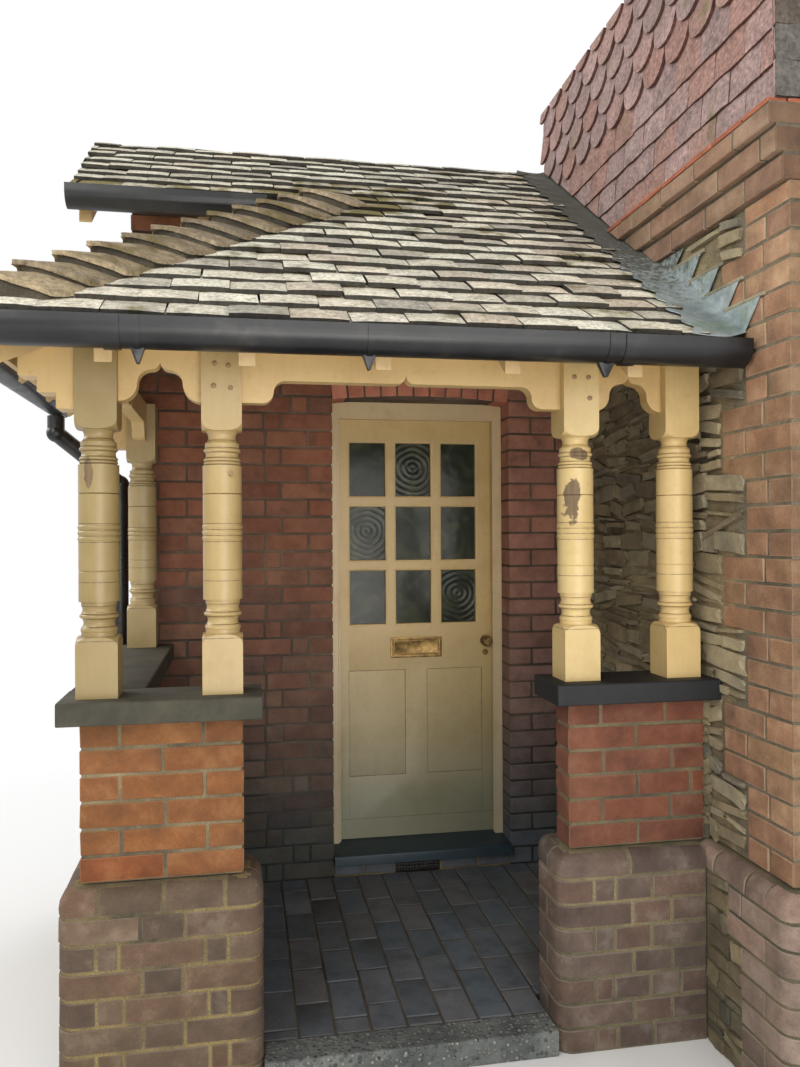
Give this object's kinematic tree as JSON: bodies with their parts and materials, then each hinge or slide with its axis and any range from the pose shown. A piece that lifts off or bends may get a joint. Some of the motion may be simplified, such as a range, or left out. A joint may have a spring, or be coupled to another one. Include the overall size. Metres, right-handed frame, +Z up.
{
  "type": "entrance porch",
  "caption": "Hipped tiled entrance porch on brick dwarf walls with turned timber posts and cut frets, set in the corner of a house wall and a wing, with a panelled door that opens.",
  "frame": {"origin": "middle of the entrance at ground level, in the front face of the upper brick piers", "axes": "+X to the right as one faces the door, +Y into the house, +Z up"},
  "size_m": [2.517, 2.003, 3.65],
  "materials": {
    "orange_brick": "matt hand made brick with buff mortar",
    "plinth_brick": "matt weathered brick, bullnose top course",
    "red_brick": "matt dark red brick with grey mortar",
    "pink_brick": "matt weathered brick",
    "floor_brick": "worn brick paving",
    "rubble_stone": "rubble stone in buff mortar",
    "coping_stone": "weathered grey stone",
    "dark_coping": "black painted stone",
    "pebble_concrete": "exposed pebble concrete",
    "roof_tile": "weathered plain clay tiles with moss",
    "hanging_tile": "weathered plain and club clay tiles",
    "sheet_lead": "dull sheet lead",
    "cream_timber": "cream gloss paint on softwood, worn",
    "cream_paint": "cream gloss paint on softwood",
    "dark_paint": "dark painted hardwood",
    "pane_glass": "clear and bullseye window glass",
    "old_brass": "polished brass gone dull",
    "hinge_brass": "dull brass",
    "air_brick_iron": "painted cast iron grille",
    "black_plastic": "black plastic, slightly glossy"
  },
  "bodies": {
    "porch": {"left_plinth": "plinth_brick", "right_plinth": "plinth_brick", "wing_plinth": "plinth_brick", "left_front_wall": "orange_brick", "left_side_wall": "orange_brick", "right_front_wall": "orange_brick", "mortar_infill": "rubble_stone", "left_front_coping": "coping_stone", "left_side_coping": "coping_stone", "right_coping": "dark_coping", "porch_floor": "floor_brick", "floor_edge": "pebble_concrete", "house_wall_left": "red_brick", "house_wall_right": "red_brick", "house_wall_over_door": "red_brick", "door_arch": "red_brick", "sill_riser": "red_brick", "air_brick": "air_brick_iron", "door_sill": "dark_paint", "door_frame": "cream_paint", "frame_hinges": "hinge_brass", "corner_post": "cream_timber", "left_inner_post": "cream_timber", "right_inner_post": "cream_timber", "wall_post": "cream_timber", "back_post": "cream_timber", "front_plate": "cream_timber", "side_plate": "cream_timber", "beam_corbels": "cream_timber", "middle_fret": "cream_timber", "left_bay_fret": "cream_timber", "right_bay_fret": "cream_timber", "side_bay_fret": "cream_timber", "rafters": "cream_timber", "hip_rafter": "cream_timber", "fascia": "cream_timber", "front_roof_slope": "roof_tile", "side_roof_slope": "roof_tile", "hip_tiles": "roof_tile", "lead_gutter": "sheet_lead", "stepped_flashing": "sheet_lead", "front_gutter": "black_plastic", "side_gutter": "black_plastic", "main_eave_gutter": "black_plastic", "downpipe": "black_plastic", "wing_wall": "rubble_stone", "wing_quoins": "pink_brick", "string_course": "pink_brick", "tile_hanging": "hanging_tile"},
    "door": {"door_leaf": "cream_paint", "door_glass": "pane_glass", "letter_plate": "old_brass", "door_knobs": "old_brass", "leaf_hinges": "hinge_brass"}
  },
  "joints": [
    {"name": "door_hinge", "type": "hinge", "parent": "porch", "child": "door", "pos_m": [-0.0745, 1.498, 0.186], "axis": [0, 0, 1], "range_deg": [0, 90]}
  ]
}
